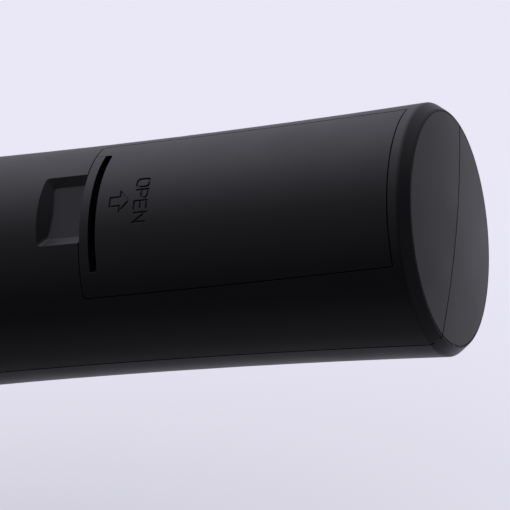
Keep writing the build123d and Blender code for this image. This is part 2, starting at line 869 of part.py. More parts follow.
with BuildPart() as board_header:
    start, end = header_station - header_length / 2, header_station + header_length / 2
    for low in (0, control_board_bottom - header_rail):
        block(start, end, -header_width / 2, header_width / 2, low, low + header_rail)
    with Locations((x_at(header_station), 0, control_board_bottom / 2)):
        with GridLocations(pin_pitch, pin_pitch, pin_rows, pin_columns):
            Box(pin_size, pin_size, control_board_bottom)

with BuildPart() as antenna_carrier:
    carrier_bottom = board_bottom - carrier_depth
    carrier_low_y = boss_radius + carrier_boss_gap
    carrier_high_y = carrier_low_y + 2 * carrier_wall + carrier_room
    block(carrier_start, carrier_end, carrier_low_y, carrier_high_y, carrier_bottom, board_bottom)
    block(carrier_start + carrier_wall, carrier_end - carrier_wall, carrier_low_y + carrier_wall,
          carrier_high_y - carrier_wall, carrier_bottom + carrier_wall, board_bottom, mode=Mode.SUBTRACT)

with BuildPart() as antenna_strip:
    strip_low_y = carrier_low_y + antenna_side_inset
    strip_high_y = carrier_high_y - antenna_side_inset
    block(carrier_start - antenna_thickness, carrier_end - antenna_end_inset, strip_low_y, strip_high_y,
          carrier_bottom - antenna_thickness, carrier_bottom)
    block(carrier_start - antenna_thickness, carrier_start, strip_low_y, strip_high_y, carrier_bottom,
          board_bottom)

with BuildPart() as control_board:
    block(control_board_start, control_board_end, -control_board_half_width, control_board_half_width,
          control_board_bottom, control_board_top)
    for station in control_screw_stations:
        for side in (-1, 1):
            post(station, side * control_screw_y, control_board_bottom, control_board_top,
                 screw_radius + screw_fit, mode=Mode.SUBTRACT)

with BuildPart() as control_board_screws:
    for station in control_screw_stations:
        for side in (-1, 1):
            screw(station, side * control_screw_y, control_board_bottom,
                  control_board_thickness + control_screw_bite, up=True)

# ---------------------------------------------------------------- display
with BuildPart() as display_module:
    half_length, half_width = module_length / 2, module_width / 2
    block(display_station - half_length, display_station + half_length, -half_width, half_width,
          control_board_top, control_board_top + module_height)

with BuildPart() as display_window:
    add(rounded_prism(display_station, 0, window_length, window_width, window_corner,
                      waist_radius / 2, far))
    add(skin(0, window_thickness - window_seat_gap), mode=Mode.INTERSECT)

# ---------------------------------------------------------------- mute slider
lever_half = lever_size / 2
switch_top = control_board_top + switch_height
lever_top = switch_top + lever_rise
switch_middle = slider_station + slider_travel / 2

with BuildPart() as mute_slider:
    cap_height = handle_radius(slider_station)
    add(rounded_prism(slider_station, 0, slider_length, slider_width, slider_corner, waist_radius / 2, far))
    add(skin(-slider_rise, slider_sink), mode=Mode.INTERSECT)
    for groove in range(grip_grooves):
        middle = slider_station + (groove - (grip_grooves - 1) / 2) * grip_pitch
        block(middle - grip_width / 2, middle + grip_width / 2, -slider_width, slider_width,
              cap_height + slider_rise - grip_depth, far, mode=Mode.SUBTRACT)
    block(slider_station - slider_stem / 2, slider_station + slider_stem / 2, -slider_stem / 2,
          slider_stem / 2, lever_top, cap_height - slider_sink + slider_stem_bite)
    block(slider_station - slider_stem, slider_station + slider_stem, -slider_stem, slider_stem,
          lever_top, lever_top + slider_foot_height)

with BuildPart() as mute_switch_lever:
    block(slider_station - lever_half, slider_station + lever_half, -lever_half, lever_half,
          switch_top - lever_sink, lever_top)

with BuildPart() as mute_switch_housing:
    block(switch_middle - switch_length / 2, switch_middle + switch_length / 2, -switch_width / 2,
          switch_width / 2, control_board_top, switch_top)
    room = lever_half + lever_gap
    block(slider_station - room, slider_station + slider_travel + room, -room, room,
          switch_top - lever_sink - lever_gap, switch_top, mode=Mode.SUBTRACT)

# ---------------------------------------------------------------- push buttons
tact_top = control_board_top + tact_height
flange_bottom = button_flange_top - button_flange_height


def button_form(y):
    """Button cap whose top follows the handle; a flange keeps it in its hole."""
    with BuildPart() as button:
        post(button_station, y, flange_bottom, far, button_radius)
        add(handle_form(-button_rise), mode=Mode.INTERSECT)
        post(button_station, y, flange_bottom, button_flange_top, button_flange_radius)
    return button.part


def plunger_form(y):
    """Switch plunger under a button."""
    with BuildPart() as plunger:
        post(button_station, y, tact_top - plunger_sink, flange_bottom, plunger_radius)
    return plunger.part


def tact_housing_form(y):
    """Square switch body on the control board, open for its plunger."""
    half = tact_size / 2
    with BuildPart() as housing:
        block(button_station - half, button_station + half, y - half, y + half, control_board_top,
              tact_top)
        post(button_station, y, tact_top - plunger_sink - button_travel - plunger_gap, tact_top,
             plunger_radius + plunger_gap, mode=Mode.SUBTRACT)
    return housing.part


buttons = {}
for name, side in (("power", 1), ("set", -1)):
    y = side * button_spacing / 2
    buttons[f"{name}_button"] = button_form(y)
    buttons[f"{name}_switch_plunger"] = plunger_form(y)
    buttons[f"{name}_switch_housing"] = tact_housing_form(y)

# ---------------------------------------------------------------- status light
with BuildPart() as status_led:
    block(light_station - led_size / 2, light_station + led_size / 2, -led_size / 2, led_size / 2,
          control_board_top, control_board_top + led_height)

with BuildPart() as status_light_pipe:
    pipe_bottom = control_board_top + led_height + led_gap
    post(light_station, 0, pipe_bottom, far, light_radius)
    add(handle_form(-light_rise), mode=Mode.INTERSECT)
    collar_bottom = pipe_bottom + pipe_collar_offset
    post(light_station, 0, collar_bottom, collar_bottom + pipe_collar_height,
         light_radius + pipe_collar_reach)

# ---------------------------------------------------------------- head collar and anti-roll ring
groove_start = spigot_rib_station - rib_gap
groove_end = spigot_rib_station + spigot_rib_width + rib_gap

with BuildPart() as head_collar:
    add(ring_form(collar_start - spigot_length, collar_start, spigot_radius, collar_bore))
    add(ring_form(collar_start, ring_start, collar_flange_radius, collar_bore))
    add(ring_form(ring_start, ring_end, collar_seat_radius, collar_bore))
    add(ring_form(ring_end, thread_end, thread_radius, collar_bore))
    add(ring_form(groove_start, groove_end, spigot_radius + rib_gap,
                  spigot_radius - spigot_rib_reach - rib_gap), mode=Mode.SUBTRACT)
    end_edges = head_collar.edges().filter_by(GeomType.CIRCLE).group_by(Axis.X)[0]
    chamfer(end_edges.sort_by(SortBy.RADIUS)[-1], length=collar_edge)

with BuildPart() as anti_roll_ring:
    with BuildSketch(Plane.YZ.offset(x_at(ring_end))) as ring_outline:
        RegularPolygon(ring_half_flats, ring_sides, major_radius=False, rotation=180 / ring_sides)
        fillet(ring_outline.vertices(), radius=ring_corner)
    extrude(amount=ring_width)
    chamfer(anti_roll_ring.edges().group_by(Axis.X)[0], length=ring_edge)
    chamfer(anti_roll_ring.edges().group_by(Axis.X)[-1], length=ring_edge)
    lengthwise(ring_start, ring_end, 0, 0, collar_seat_radius + ring_fit, mode=Mode.SUBTRACT)

# ---------------------------------------------------------------- grille
gasket_end = ring_end + gasket_thickness
grille_start = gasket_end + gasket_slack
grille_ring_end = grille_start + grille_ring_length
band_start = band_station - band_width / 2
band_end = band_station + band_width / 2


def dome_profile(depth, start, base_radius):
    """Draw the ball's outline at a depth under its surface, from a station to its top."""
    base = (x_at(start), base_radius - depth)
    lower_end = (x_at(band_start), mesh_radius - depth)
    upper_start = (x_at(band_end), mesh_radius - depth)
    apex = (x_at(head_end - depth), 0)
    middle = ((base[0] + lower_end[0]) / 2, (base[1] + lower_end[1]) / 2 + mesh_bulge)
    ThreePointArc(base, middle, lower_end)
    Line(lower_end, upper_start)
    TangentArc(apex, upper_start, tangent=(0, 1))
    return base, apex


def ball_form(depth, start):
    """Solid ball of the grille at a depth under its surface."""
    with BuildPart() as ball:
        with BuildSketch(Plane.XZ):
            with BuildLine():
                base, apex = dome_profile(depth, start, mesh_base_radius)
                Polyline(apex, (x_at(start), 0), base)
            make_face()
        revolve(axis=Axis.X)
    return ball.part


def ball_layer(outer_depth, inner_depth, start, end):
    """Layer of the ball between two depths and two stations."""
    with BuildPart() as layer:
        add(ball_form(outer_depth, grille_ring_end))
        add(ball_form(inner_depth, grille_ring_end), mode=Mode.SUBTRACT)
        with BuildPart(mode=Mode.PRIVATE) as zone:
            block(start, end, -far, far, -far, far)
        add(zone.part, mode=Mode.INTERSECT)
    return layer.part


with BuildPart() as grille_gasket:
    add(ring_form(ring_end, gasket_end, mesh_base_radius, thread_radius + thread_gap))

with BuildPart() as grille_ring:
    add(ring_form(grille_start, grille_ring_end, grille_ring_radius, grille_ring_bore))
    add(ring_form(grille_start, thread_end + thread_end_room, thread_radius + thread_gap,
                  grille_ring_bore - grille_ring_lip), mode=Mode.SUBTRACT)
    chamfer(rims_of(grille_ring, grille_ring_radius), length=grille_ring_edge)

lower_mesh = ball_layer(0, mesh_thickness, grille_ring_end, band_start)
upper_mesh = ball_layer(0, mesh_thickness, band_end, head_end + mesh_thickness)
foam_top = mesh_thickness + foam_gap
foam_liner = ball_layer(foam_top, foam_top + foam_thickness, grille_ring_end, head_end + mesh_thickness)

with BuildPart() as grille_band:
    add(ring_form(band_start, band_end, band_radius, mesh_radius - mesh_thickness))
    chamfer(rims_of(grille_band, band_radius), length=band_edge)

# ---------------------------------------------------------------- capsule
mount_start = capsule_base_station + mount_offset
mount_end = mount_start + mount_width

with BuildPart() as capsule_carrier:
    inner = carrier_tube_radius - carrier_tube_wall
    add(ring_form(carrier_tube_start, mount_end, carrier_tube_radius, inner))
    add(ring_form(carrier_tube_start, carrier_tube_start + carrier_floor, carrier_tube_radius,
                  carrier_floor_bore))

with BuildPart() as shock_mount:
    add(ring_form(mount_start, mount_end, mount_radius, capsule_radius))

with BuildPart() as capsule_body:
    lengthwise(capsule_base_station, capsule_base_station + capsule_length, 0, 0, capsule_radius)
    fillet(capsule_body.edges().group_by(Axis.X)[-1], radius=capsule_corner)

with BuildPart() as capsule_cap:
    cap_start = capsule_base_station + capsule_length
    lengthwise(cap_start, cap_start + capsule_cap_length, 0, 0, capsule_cap_radius)
    chamfer(capsule_cap.edges().group_by(Axis.X)[0], length=capsule_cap_edge)
    with Locations(Location((x_at(cap_start + capsule_cap_length), 0, 0), (0, 90, 0))):
        for ring_radius, count in capsule_hole_rings:
            with PolarLocations(ring_radius, count):
                Cylinder(capsule_hole_radius, 2 * capsule_hole_depth, mode=Mode.SUBTRACT)

with BuildPart() as capsule_leads:
    for side in (-1, 1):
        lengthwise(lead_start, capsule_base_station, side * lead_spacing / 2, lead_radius, lead_radius)

# ---------------------------------------------------------------- files
pieces = {
    "front_shell": front_shell.part,
    "rear_shell": rear_shell.part,
    "shell_screws": shell_screws.part,
    "battery_door": battery_door.part,
    "door_latch": door_latch.part,
    "door_foam_pad": door_foam_pad.part,
    "battery_tray": battery_tray.part,
    "tray_screws": tray_screws.part,
    "battery_cell_a": battery_cell_a,
    "battery_cell_b": battery_cell_b,
    "link_plate": link_plate,
    "link_spring": link_spring,
    "positive_plate": positive_plate,
    "negative_plate": negative_plate,
    "negative_spring": negative_spring,
    "main_board": main_board.part,
    "board_screws": board_screws.part,
    "rf_shield_can": rf_shield_can.part,
    "board_chips": board_chips.part,
    "board_header": board_header.part,
    "antenna_carrier": antenna_carrier.part,
    "antenna_strip": antenna_strip.part,
    "control_board": control_board.part,
    "control_board_screws": control_board_screws.part,
    "display_module": display_module.part,
    "display_window": display_window.part,
    "mute_slider": mute_slider.part,
    "mute_switch_lever": mute_switch_lever.part,
    "mute_switch_housing": mute_switch_housing.part,
    **buttons,
    "status_led": status_led.part,
    "status_light_pipe": status_light_pipe.part,
    "head_collar": head_collar.part,
    "anti_roll_ring": anti_roll_ring.part,
    "grille_gasket": grille_gasket.part,
    "grille_ring": grille_ring.part,
    "lower_mesh": lower_mesh,
    "grille_band": grille_band.part,
    "upper_mesh": upper_mesh,
    "foam_liner": foam_liner,
    "capsule_carrier": capsule_carrier.part,
    "shock_mount": shock_mount.part,
    "capsule_body": capsule_body.part,
    "capsule_cap": capsule_cap.part,
    "capsule_leads": capsule_leads.part,
}
for name, piece in pieces.items():
    piece.label = name
    export_step(piece, f"parts/{name}.step")
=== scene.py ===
"""Looks of a handheld wireless microphone transmitter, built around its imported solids.

The solids give every place and size. This script gives each visible piece its finish, and models
what solids can't carry well: the woven grille, the foams and the segments of the display.
"""

import logging
import math
from collections.abc import Iterator
from dataclasses import dataclass, field
from enum import Enum

import bmesh
import bpy
from mathutils import Matrix, Vector, noise

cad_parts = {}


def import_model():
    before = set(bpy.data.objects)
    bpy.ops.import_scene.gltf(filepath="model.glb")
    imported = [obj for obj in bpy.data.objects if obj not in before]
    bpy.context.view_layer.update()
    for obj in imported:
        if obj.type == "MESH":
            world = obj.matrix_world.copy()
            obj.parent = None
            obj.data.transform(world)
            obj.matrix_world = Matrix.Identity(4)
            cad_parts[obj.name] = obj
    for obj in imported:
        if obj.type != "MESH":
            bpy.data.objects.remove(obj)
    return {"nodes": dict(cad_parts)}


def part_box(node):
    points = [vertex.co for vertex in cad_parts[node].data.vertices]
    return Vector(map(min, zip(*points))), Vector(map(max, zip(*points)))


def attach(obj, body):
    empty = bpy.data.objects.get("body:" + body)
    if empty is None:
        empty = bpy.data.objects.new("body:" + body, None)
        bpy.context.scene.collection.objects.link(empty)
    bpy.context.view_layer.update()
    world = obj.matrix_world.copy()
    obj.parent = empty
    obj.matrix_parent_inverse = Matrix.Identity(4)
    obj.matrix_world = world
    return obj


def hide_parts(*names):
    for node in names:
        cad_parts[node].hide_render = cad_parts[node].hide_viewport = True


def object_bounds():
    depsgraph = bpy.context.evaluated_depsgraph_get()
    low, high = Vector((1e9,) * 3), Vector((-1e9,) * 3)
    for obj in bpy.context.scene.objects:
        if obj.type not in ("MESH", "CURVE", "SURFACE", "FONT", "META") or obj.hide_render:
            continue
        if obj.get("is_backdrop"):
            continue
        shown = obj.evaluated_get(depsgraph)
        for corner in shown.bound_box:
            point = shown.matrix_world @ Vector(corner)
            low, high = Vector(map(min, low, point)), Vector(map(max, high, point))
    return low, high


MM = 0.001
BEVEL_SAMPLES = 6
WEAR_POLISH = 0.15          # how much smoother a rubbed edge is
DUST_COVER = 0.35           # how far a speck hides what is under it
DUST_COLOUR = (0.12, 0.12, 0.13)
DRIFT_SHADE = 0.82          # brightness of a finish where its colour is darkest
CLEAR_TRANSMISSION = 0.95
BLACK = (0.0, 0.0, 0.0)
LOG = logging.getLogger("transmitter")
Colour = tuple[float, float, float]
Socket = bpy.types.NodeSocket
Box = tuple[Vector, Vector]


class Family(Enum):
    """Kinds of base material, which set some of the shader's constants."""

    PLASTIC = "plastic"
    METAL = "metal"
    CLEAR = "clear"


# ---------------------------------------------------------------- shader groups
class Graph:
    """Node tree with short calls for placing and linking nodes."""

    def __init__(self, tree: bpy.types.NodeTree) -> None:
        """Keep the tree that nodes are placed in."""
        self.tree = tree

    def node(self, kind: str, inputs: dict | None = None, **settings: object) -> bpy.types.Node:
        """Place a node.

        Args:
            kind: the node's type without the ShaderNode prefix.
            inputs: values or sockets for the node's inputs, by name or number.
            settings: properties of the node itself.
        Returns:
            The new node.
        """
        made = self.tree.nodes.new("ShaderNode" + kind)
        for name, value in settings.items():
            setattr(made, name, value)
        for name, value in (inputs or {}).items():
            self.put(made.inputs[name], value)
        return made

    def put(self, socket: Socket, value: object) -> None:
        """Link a socket to an input, or give the input a value."""
        if isinstance(value, bpy.types.NodeSocket):
            self.tree.links.new(value, socket)
        elif isinstance(value, tuple):
            socket.default_value = (*value, 1.0)[: len(socket.default_value)]
        else:
            socket.default_value = value

    def math(self, operation: str, a: object, b: object = 0.0, c: object = 0.0) -> Socket:
        """Return the result of a Math node."""
        return self.node("Math", {0: a, 1: b, 2: c}, operation=operation).outputs[0]

    def blend(self, share: object, first: object, second: object) -> Socket:
        """Return the mix of two colours."""
        return self.node("Mix", {0: share, 6: first, 7: second}, data_type="RGBA").outputs[2]

    def ramp(self, value: object, low: object, high: object) -> Socket:
        """Return 0 to 1 as a value goes from low to high, clamped."""
        return self.node("MapRange", {0: value, 1: low, 2: high}, clamp=True).outputs[0]

    def dot(self, first: object, second: object) -> Socket:
        """Return the dot product of two vectors."""
        return self.node("VectorMath", {0: first, 1: second}, operation="DOT_PRODUCT").outputs["Value"]

    def place(self) -> Socket:
        """Return the place on the object."""
        return self.node("TexCoord").outputs["Object"]

    def per_metre(self, size: object) -> Socket:
        """Return the texture scale that repeats at a size in millimetres."""
        return self.math("DIVIDE", 1 / MM, size)


def new_group(name: str, inputs: dict[str, float], output: dict[str, str]) -> tuple[Graph, dict, dict]:
    """Start a shader node group.

    Args:
        name: the group's name.
        inputs: default of each float input.
        output: socket type of each output, Float or Color.
    Returns:
        The graph, its input sockets and its output sockets by name.
    """
    tree = bpy.data.node_groups.new(name, "ShaderNodeTree")
    for title, value in inputs.items():
        socket = tree.interface.new_socket(title, in_out="INPUT", socket_type="NodeSocketFloat")
        socket.default_value = value
    for title, kind in output.items():
        tree.interface.new_socket(title, in_out="OUTPUT", socket_type="NodeSocket" + kind)
    start = tree.nodes.new("NodeGroupInput")
    end = tree.nodes.new("NodeGroupOutput")
    return Graph(tree), dict(start.outputs.items()), dict(end.inputs.items())


def grain_group() -> bpy.types.NodeTree:
    """Spark-eroded grain: a fine height, and a slow drift that varies roughness and colour.

    Returns:
        Group with the outputs Height and Drift.
    """
    graph, given, out = new_group(
        "grain", {"Size": 0.25, "Drift size": 9.0}, {"Height": "Float", "Drift": "Float"}
    )
    place, scale = graph.place(), graph.per_metre(given["Size"])
    fine = graph.node("TexNoise", {"Vector": place, "Scale": scale, "Detail": 2.0})
    pits = graph.node("TexVoronoi", {"Vector": place, "Scale": scale})
    pit_share = 0.5
    height = graph.math("MULTIPLY_ADD", pits.outputs["Distance"], pit_share, fine.outputs["Fac"])
    drift_scale = graph.per_metre(given["Drift size"])
    drift = graph.node("TexNoise", {"Vector": place, "Scale": drift_scale, "Detail": 4.0})
    least, most = 0.3, 0.7
    graph.put(out["Height"], height)
    graph.put(out["Drift"], graph.ramp(drift.outputs["Fac"], least, most))
    return graph.tree


def dust_group() -> bpy.types.NodeTree:
    """Sparse pale specks that settle on faces turned up.

    Returns:
        Group with the output Dust, a mask.
    """
    graph, given, out = new_group("dust", {"Spacing": 3.0, "Amount": 0.1}, {"Dust": "Float"})
    scale = graph.per_metre(given["Spacing"])
    cells = graph.node("TexVoronoi", {"Vector": graph.place(), "Scale": scale})
    speck_edge, speck_core = 0.045, 0.02
    speck = graph.ramp(cells.outputs["Distance"], speck_edge, speck_core)
    chance = graph.node("SeparateColor", {0: cells.outputs["Color"]}).outputs[0]
    kept = graph.math("LESS_THAN", chance, given["Amount"])
    up = graph.node("SeparateXYZ", {0: graph.node("NewGeometry").outputs["Normal"]}).outputs[2]
    level, settled = 0.0, 0.6
    upward = graph.ramp(up, level, settled)
    graph.put(out["Dust"], graph.math("MULTIPLY", graph.math("MULTIPLY", speck, kept), upward))
    return graph.tree


def wear_group() -> bpy.types.NodeTree:
    """Rubbed edges: where a rounded normal leaves the face's own, broken up by noise.

    Returns:
        Group with the output Wear, a mask.
    """
    graph, given, out = new_group("edge_wear", {"Radius": 0.3, "Patch": 2.5}, {"Wear": "Float"})
    radius = graph.math("MULTIPLY", given["Radius"], MM)
    rounded = graph.node("Bevel", {"Radius": radius}, samples=BEVEL_SAMPLES).outputs[0]
    agreement = graph.dot(rounded, graph.node("NewGeometry").outputs["Normal"])
    flat, sharp = 0.98, 0.85
    edge = graph.ramp(agreement, flat, sharp)
    patch_scale = graph.per_metre(given["Patch"])
    patches = graph.node("TexNoise", {"Vector": graph.place(), "Scale": patch_scale, "Detail": 3.0})
    sound, rubbed = 0.4, 0.62
    broken = graph.ramp(patches.outputs["Fac"], sound, rubbed)
    graph.put(out["Wear"], graph.math("MULTIPLY", edge, broken))
    return graph.tree


def traces_group() -> bpy.types.NodeTree:
    """Copper traces under a board's lacquer: fine parallel lines that change direction by region.

    Returns:
        Group with the output Traces, a mask.
    """
    graph, given, out = new_group("traces", {"Pitch": 0.9}, {"Traces": "Float"})
    place, scale = graph.place(), graph.per_metre(given["Pitch"])
    region_share, turned_share, traced_share = 0.12, 0.5, 0.85
    gap_end, line_start = 0.55, 0.6
    region_scale = graph.math("MULTIPLY", scale, region_share)
    region = graph.node("TexVoronoi", {"Vector": place, "Scale": region_scale}, distance="CHEBYCHEV")
    chance = graph.node("SeparateColor", {0: region.outputs["Color"]}).outputs[0]
    axes = graph.node("SeparateXYZ", {0: place})
    turned = graph.math("GREATER_THAN", chance, turned_share)
    across = graph.node("Mix", {0: turned, 2: axes.outputs[0], 3: axes.outputs[1]}, data_type="FLOAT")
    line = graph.math("FRACT", graph.math("MULTIPLY", across.outputs[0], scale))
    filled = graph.math("LESS_THAN", chance, traced_share)
    graph.put(out["Traces"], graph.math("MULTIPLY", graph.ramp(line, gap_end, line_start), filled))
    return graph.tree


@dataclass(frozen=True)
class Effects:
    """The node groups that several finishes share, each built once."""

    grain: bpy.types.NodeTree = field(default_factory=grain_group)
    dust: bpy.types.NodeTree = field(default_factory=dust_group)
    wear: bpy.types.NodeTree = field(default_factory=wear_group)
    traces: bpy.types.NodeTree = field(default_factory=traces_group)


# ---------------------------------------------------------------- finishes
@dataclass(frozen=True)
class Finish:
    """A surface finish that becomes one material.

    Colours are linear. The grain's size and depth and the rounding of edges are in millimetres.
    """

    name: str
    colour: Colour
    family: Family = Family.PLASTIC
    roughness: float = 0.5
    roughness_drift: float = 0.08
    grain: float = 0.25
    grain_depth: float = 0.004
    edge_round: float = 0.2
    dust: float = 0.0
    wear: float = 0.0
    wear_colour: Colour = (0.05, 0.05, 0.05)
    trace_colour: Colour | None = None
    coat: float = 0.0

    def build(self, effects: Effects) -> bpy.types.Material:
        """Build the material.

        Args:
            effects: the shared node groups.
        Returns:
            A material whose Principled shader is fed by the groups.
        """
        made = bpy.data.materials.new(self.name)
        made.use_nodes = True
        made.node_tree.nodes.clear()
        graph = Graph(made.node_tree)
        grain = graph.node("Group", node_tree=effects.grain)
        grain.inputs["Size"].default_value = self.grain
        lowest = self.roughness - self.roughness_drift / 2
        rough = graph.math("MULTIPLY_ADD", grain.outputs["Drift"], self.roughness_drift, lowest)
        colour = self.base_colour(graph, grain)
        if self.trace_colour:
            traces = graph.node("Group", node_tree=effects.traces).outputs["Traces"]
            colour = graph.blend(traces, colour, self.trace_colour)
        if self.wear:
            wear = graph.node("Group", node_tree=effects.wear).outputs["Wear"]
            share = graph.math("MULTIPLY", wear, self.wear)
            colour = graph.blend(share, colour, self.wear_colour)
            rough = graph.math("MULTIPLY_ADD", share, -WEAR_POLISH, rough)
        if self.dust:
            dust = graph.node("Group", node_tree=effects.dust)
            dust.inputs["Amount"].default_value = self.dust
            share = graph.math("MULTIPLY", dust.outputs["Dust"], DUST_COVER)
            colour = graph.blend(share, colour, DUST_COLOUR)
        shader = graph.node("BsdfPrincipled", {"Base Color": colour, "Roughness": rough})
        self.set_constants(shader)
        normal = self.normal(graph, grain)
        if normal is not None:
            graph.put(shader.inputs["Normal"], normal)
        graph.node("OutputMaterial", {"Surface": shader.outputs[0]})
        return made

    def base_colour(self, graph: Graph, grain: bpy.types.Node) -> Socket:
        """Return the colour with a slight drift over the surface."""
        darker = tuple(channel * DRIFT_SHADE for channel in self.colour)
        return graph.blend(grain.outputs["Drift"], darker, self.colour)

    def set_constants(self, shader: bpy.types.Node) -> None:
        """Set what doesn't change over the surface."""
        shader.inputs["Metallic"].default_value = 1.0 if self.family is Family.METAL else 0.0
        shader.inputs["Coat Weight"].default_value = self.coat
        passes = CLEAR_TRANSMISSION if self.family is Family.CLEAR else 0.0
        shader.inputs["Transmission Weight"].default_value = passes

    def normal(self, graph: Graph, grain: bpy.types.Node) -> Socket | None:
        """Return the normal with rounded edges and grain, or None for a bare one."""
        normal = None
        if self.edge_round:
            normal = graph.node("Bevel", {"Radius": self.edge_round * MM}, samples=BEVEL_SAMPLES).outputs[0]
        if self.grain_depth:
            depth = self.grain_depth * MM
            bump = graph.node("Bump", {"Distance": depth, "Height": grain.outputs["Height"]})
            if normal is not None:
                graph.put(bump.inputs["Normal"], normal)
            normal = bump.outputs[0]
        return normal


@dataclass(frozen=True)
class CellJacket(Finish):
    """Printed jacket of a battery cell: a band at the positive end, and bare steel end faces."""

    band_start: float = 0.0
    band_towards_tail: bool = True
    band_edge: float = 0.1 * MM
    end_facing: float = 0.6
    band_colour: Colour = (0.42, 0.16, 0.05)
    steel: Colour = (0.5, 0.5, 0.48)

    def base_colour(self, graph: Graph, grain: bpy.types.Node) -> Socket:
        """Return the jacket's colours, split along the cell."""
        along = graph.node("SeparateXYZ", {0: graph.place()}).outputs[0]
        edge = (self.band_start, self.band_start + self.band_edge)
        band = graph.ramp(along, *(edge if self.band_towards_tail else reversed(edge)))
        printed = graph.blend(band, self.colour, self.band_colour)
        facing = graph.node("SeparateXYZ", {0: graph.node("NewGeometry").outputs["Normal"]}).outputs[0]
        end_face = graph.math("GREATER_THAN", graph.math("ABSOLUTE", facing), self.end_facing)
        return graph.blend(end_face, printed, self.steel)


SHELL = Finish("shell_black", (0.0036, 0.0036, 0.0042), roughness=0.47, roughness_drift=0.03, grain=0.3,
               edge_round=0.06, dust=0.05)
DOOR = Finish("door_black", (0.003, 0.003, 0.0036), roughness=0.47, roughness_drift=0.03, grain=0.3,
              edge_round=0.12, dust=0.05)
CONTROL = Finish("control_grey", (0.055, 0.055, 0.06), roughness=0.42, grain=0.2, grain_depth=0.003, wear=0.5)
INNER = Finish("inner_plastic", (0.03, 0.03, 0.032), roughness=0.55, edge_round=0.15)
HEADER = Finish("header_plastic", (0.008, 0.008, 0.008), roughness=0.6, edge_round=0.0)
LAMINATE = Finish("board_green", (0.005, 0.05, 0.018), roughness=0.35, grain=0.8, coat=0.3,
                  trace_colour=(0.012, 0.1, 0.035))
CHIP = Finish("chip_black", (0.01, 0.01, 0.011), roughness=0.6, edge_round=0.1)
SCREW = Finish("screw_black_zinc", (0.06, 0.06, 0.065), Family.METAL, 0.35, grain_depth=0.002, edge_round=0.1)
SPRING = Finish("spring_nickel", (0.55, 0.54, 0.52), Family.METAL, 0.25, grain_depth=0.001, edge_round=0.0)
TIN = Finish("shield_tin", (0.5, 0.5, 0.48), Family.METAL, 0.32, grain=0.6, grain_depth=0.003)
CONTACT = Finish("contact_nickel", (0.6, 0.56, 0.46), Family.METAL, 0.28, grain_depth=0.001, edge_round=0.1)
LCD = Finish("display_cell", (0.34, 0.42, 0.3), roughness=0.25, grain_depth=0.0, coat=0.6)
SEGMENT = Finish("display_segment", (0.012, 0.016, 0.014), roughness=0.4, grain_depth=0.0, edge_round=0.0)
WINDOW = Finish("display_tint", (0.75, 0.76, 0.78), Family.CLEAR, 0.05, grain_depth=0.0, roughness_drift=0.02)
LIGHT = Finish("light_pipe", (0.3, 0.75, 0.35), Family.CLEAR, 0.15, grain_depth=0.0)
LED = Finish("led_lens", (0.6, 0.62, 0.5), roughness=0.2, grain_depth=0.0, coat=0.5)
ANODISED = Finish("collar_anodised", (0.05, 0.05, 0.055), Family.METAL, 0.38, grain=0.12, grain_depth=0.002,
                  wear=0.4, wear_colour=(0.12, 0.12, 0.12))
RUBBER = Finish("ring_rubber", (0.014, 0.014, 0.015), roughness=0.72, grain=0.35, grain_depth=0.01,
                edge_round=0.4, dust=0.12)
LACQUER = Finish("grille_lacquer", (0.11, 0.11, 0.115), Family.METAL, 0.4, grain_depth=0.0, edge_round=0.0)
BAND = Finish("band_lacquer", (0.1, 0.1, 0.105), Family.METAL, 0.34, grain=0.15, grain_depth=0.002,
              wear=0.6, wear_colour=(0.16, 0.16, 0.16))
FOAM = Finish("foam_black", (0.005, 0.005, 0.005), roughness=0.95, grain=0.6, grain_depth=0.25,
              edge_round=0.0)
CAPSULE = Finish("capsule_metal", (0.4, 0.4, 0.4), Family.METAL, 0.3, grain=0.1, grain_depth=0.002)
LEAD = Finish("lead_insulation", (0.35, 0.02, 0.015), roughness=0.4, edge_round=0.0)

CELL_BAND = 14 * MM           # length of the coloured band on a cell

NODE_FINISHES: dict[str, Finish] = {
    "front_shell": SHELL, "rear_shell": SHELL, "battery_door": DOOR, "door_latch": DOOR,
    "shell_screws": SCREW, "tray_screws": SCREW, "board_screws": SCREW, "control_board_screws": SCREW,
    "battery_tray": INNER, "antenna_carrier": INNER, "capsule_carrier": INNER, "board_header": HEADER,
    "link_plate": CONTACT, "positive_plate": CONTACT, "negative_plate": CONTACT, "antenna_strip": CONTACT,
    "link_spring": SPRING, "negative_spring": SPRING, "main_board": LAMINATE, "control_board": LAMINATE,
    "rf_shield_can": TIN, "board_chips": CHIP, "display_module": LCD, "display_window": WINDOW,
    "mute_slider": CONTROL, "mute_switch_lever": CONTROL, "mute_switch_housing": HEADER,
    "power_button": CONTROL, "power_switch_plunger": CONTROL, "power_switch_housing": HEADER,
    "set_button": CONTROL, "set_switch_plunger": CONTROL, "set_switch_housing": HEADER,
    "status_led": LED, "status_light_pipe": LIGHT, "head_collar": ANODISED, "grille_ring": ANODISED,
    "anti_roll_ring": RUBBER, "grille_gasket": RUBBER, "shock_mount": RUBBER, "grille_band": BAND,
    "lower_mesh": LACQUER, "upper_mesh": LACQUER, "foam_liner": FOAM, "door_foam_pad": FOAM,
    "capsule_body": CAPSULE, "capsule_cap": CAPSULE, "capsule_leads": LEAD,
}


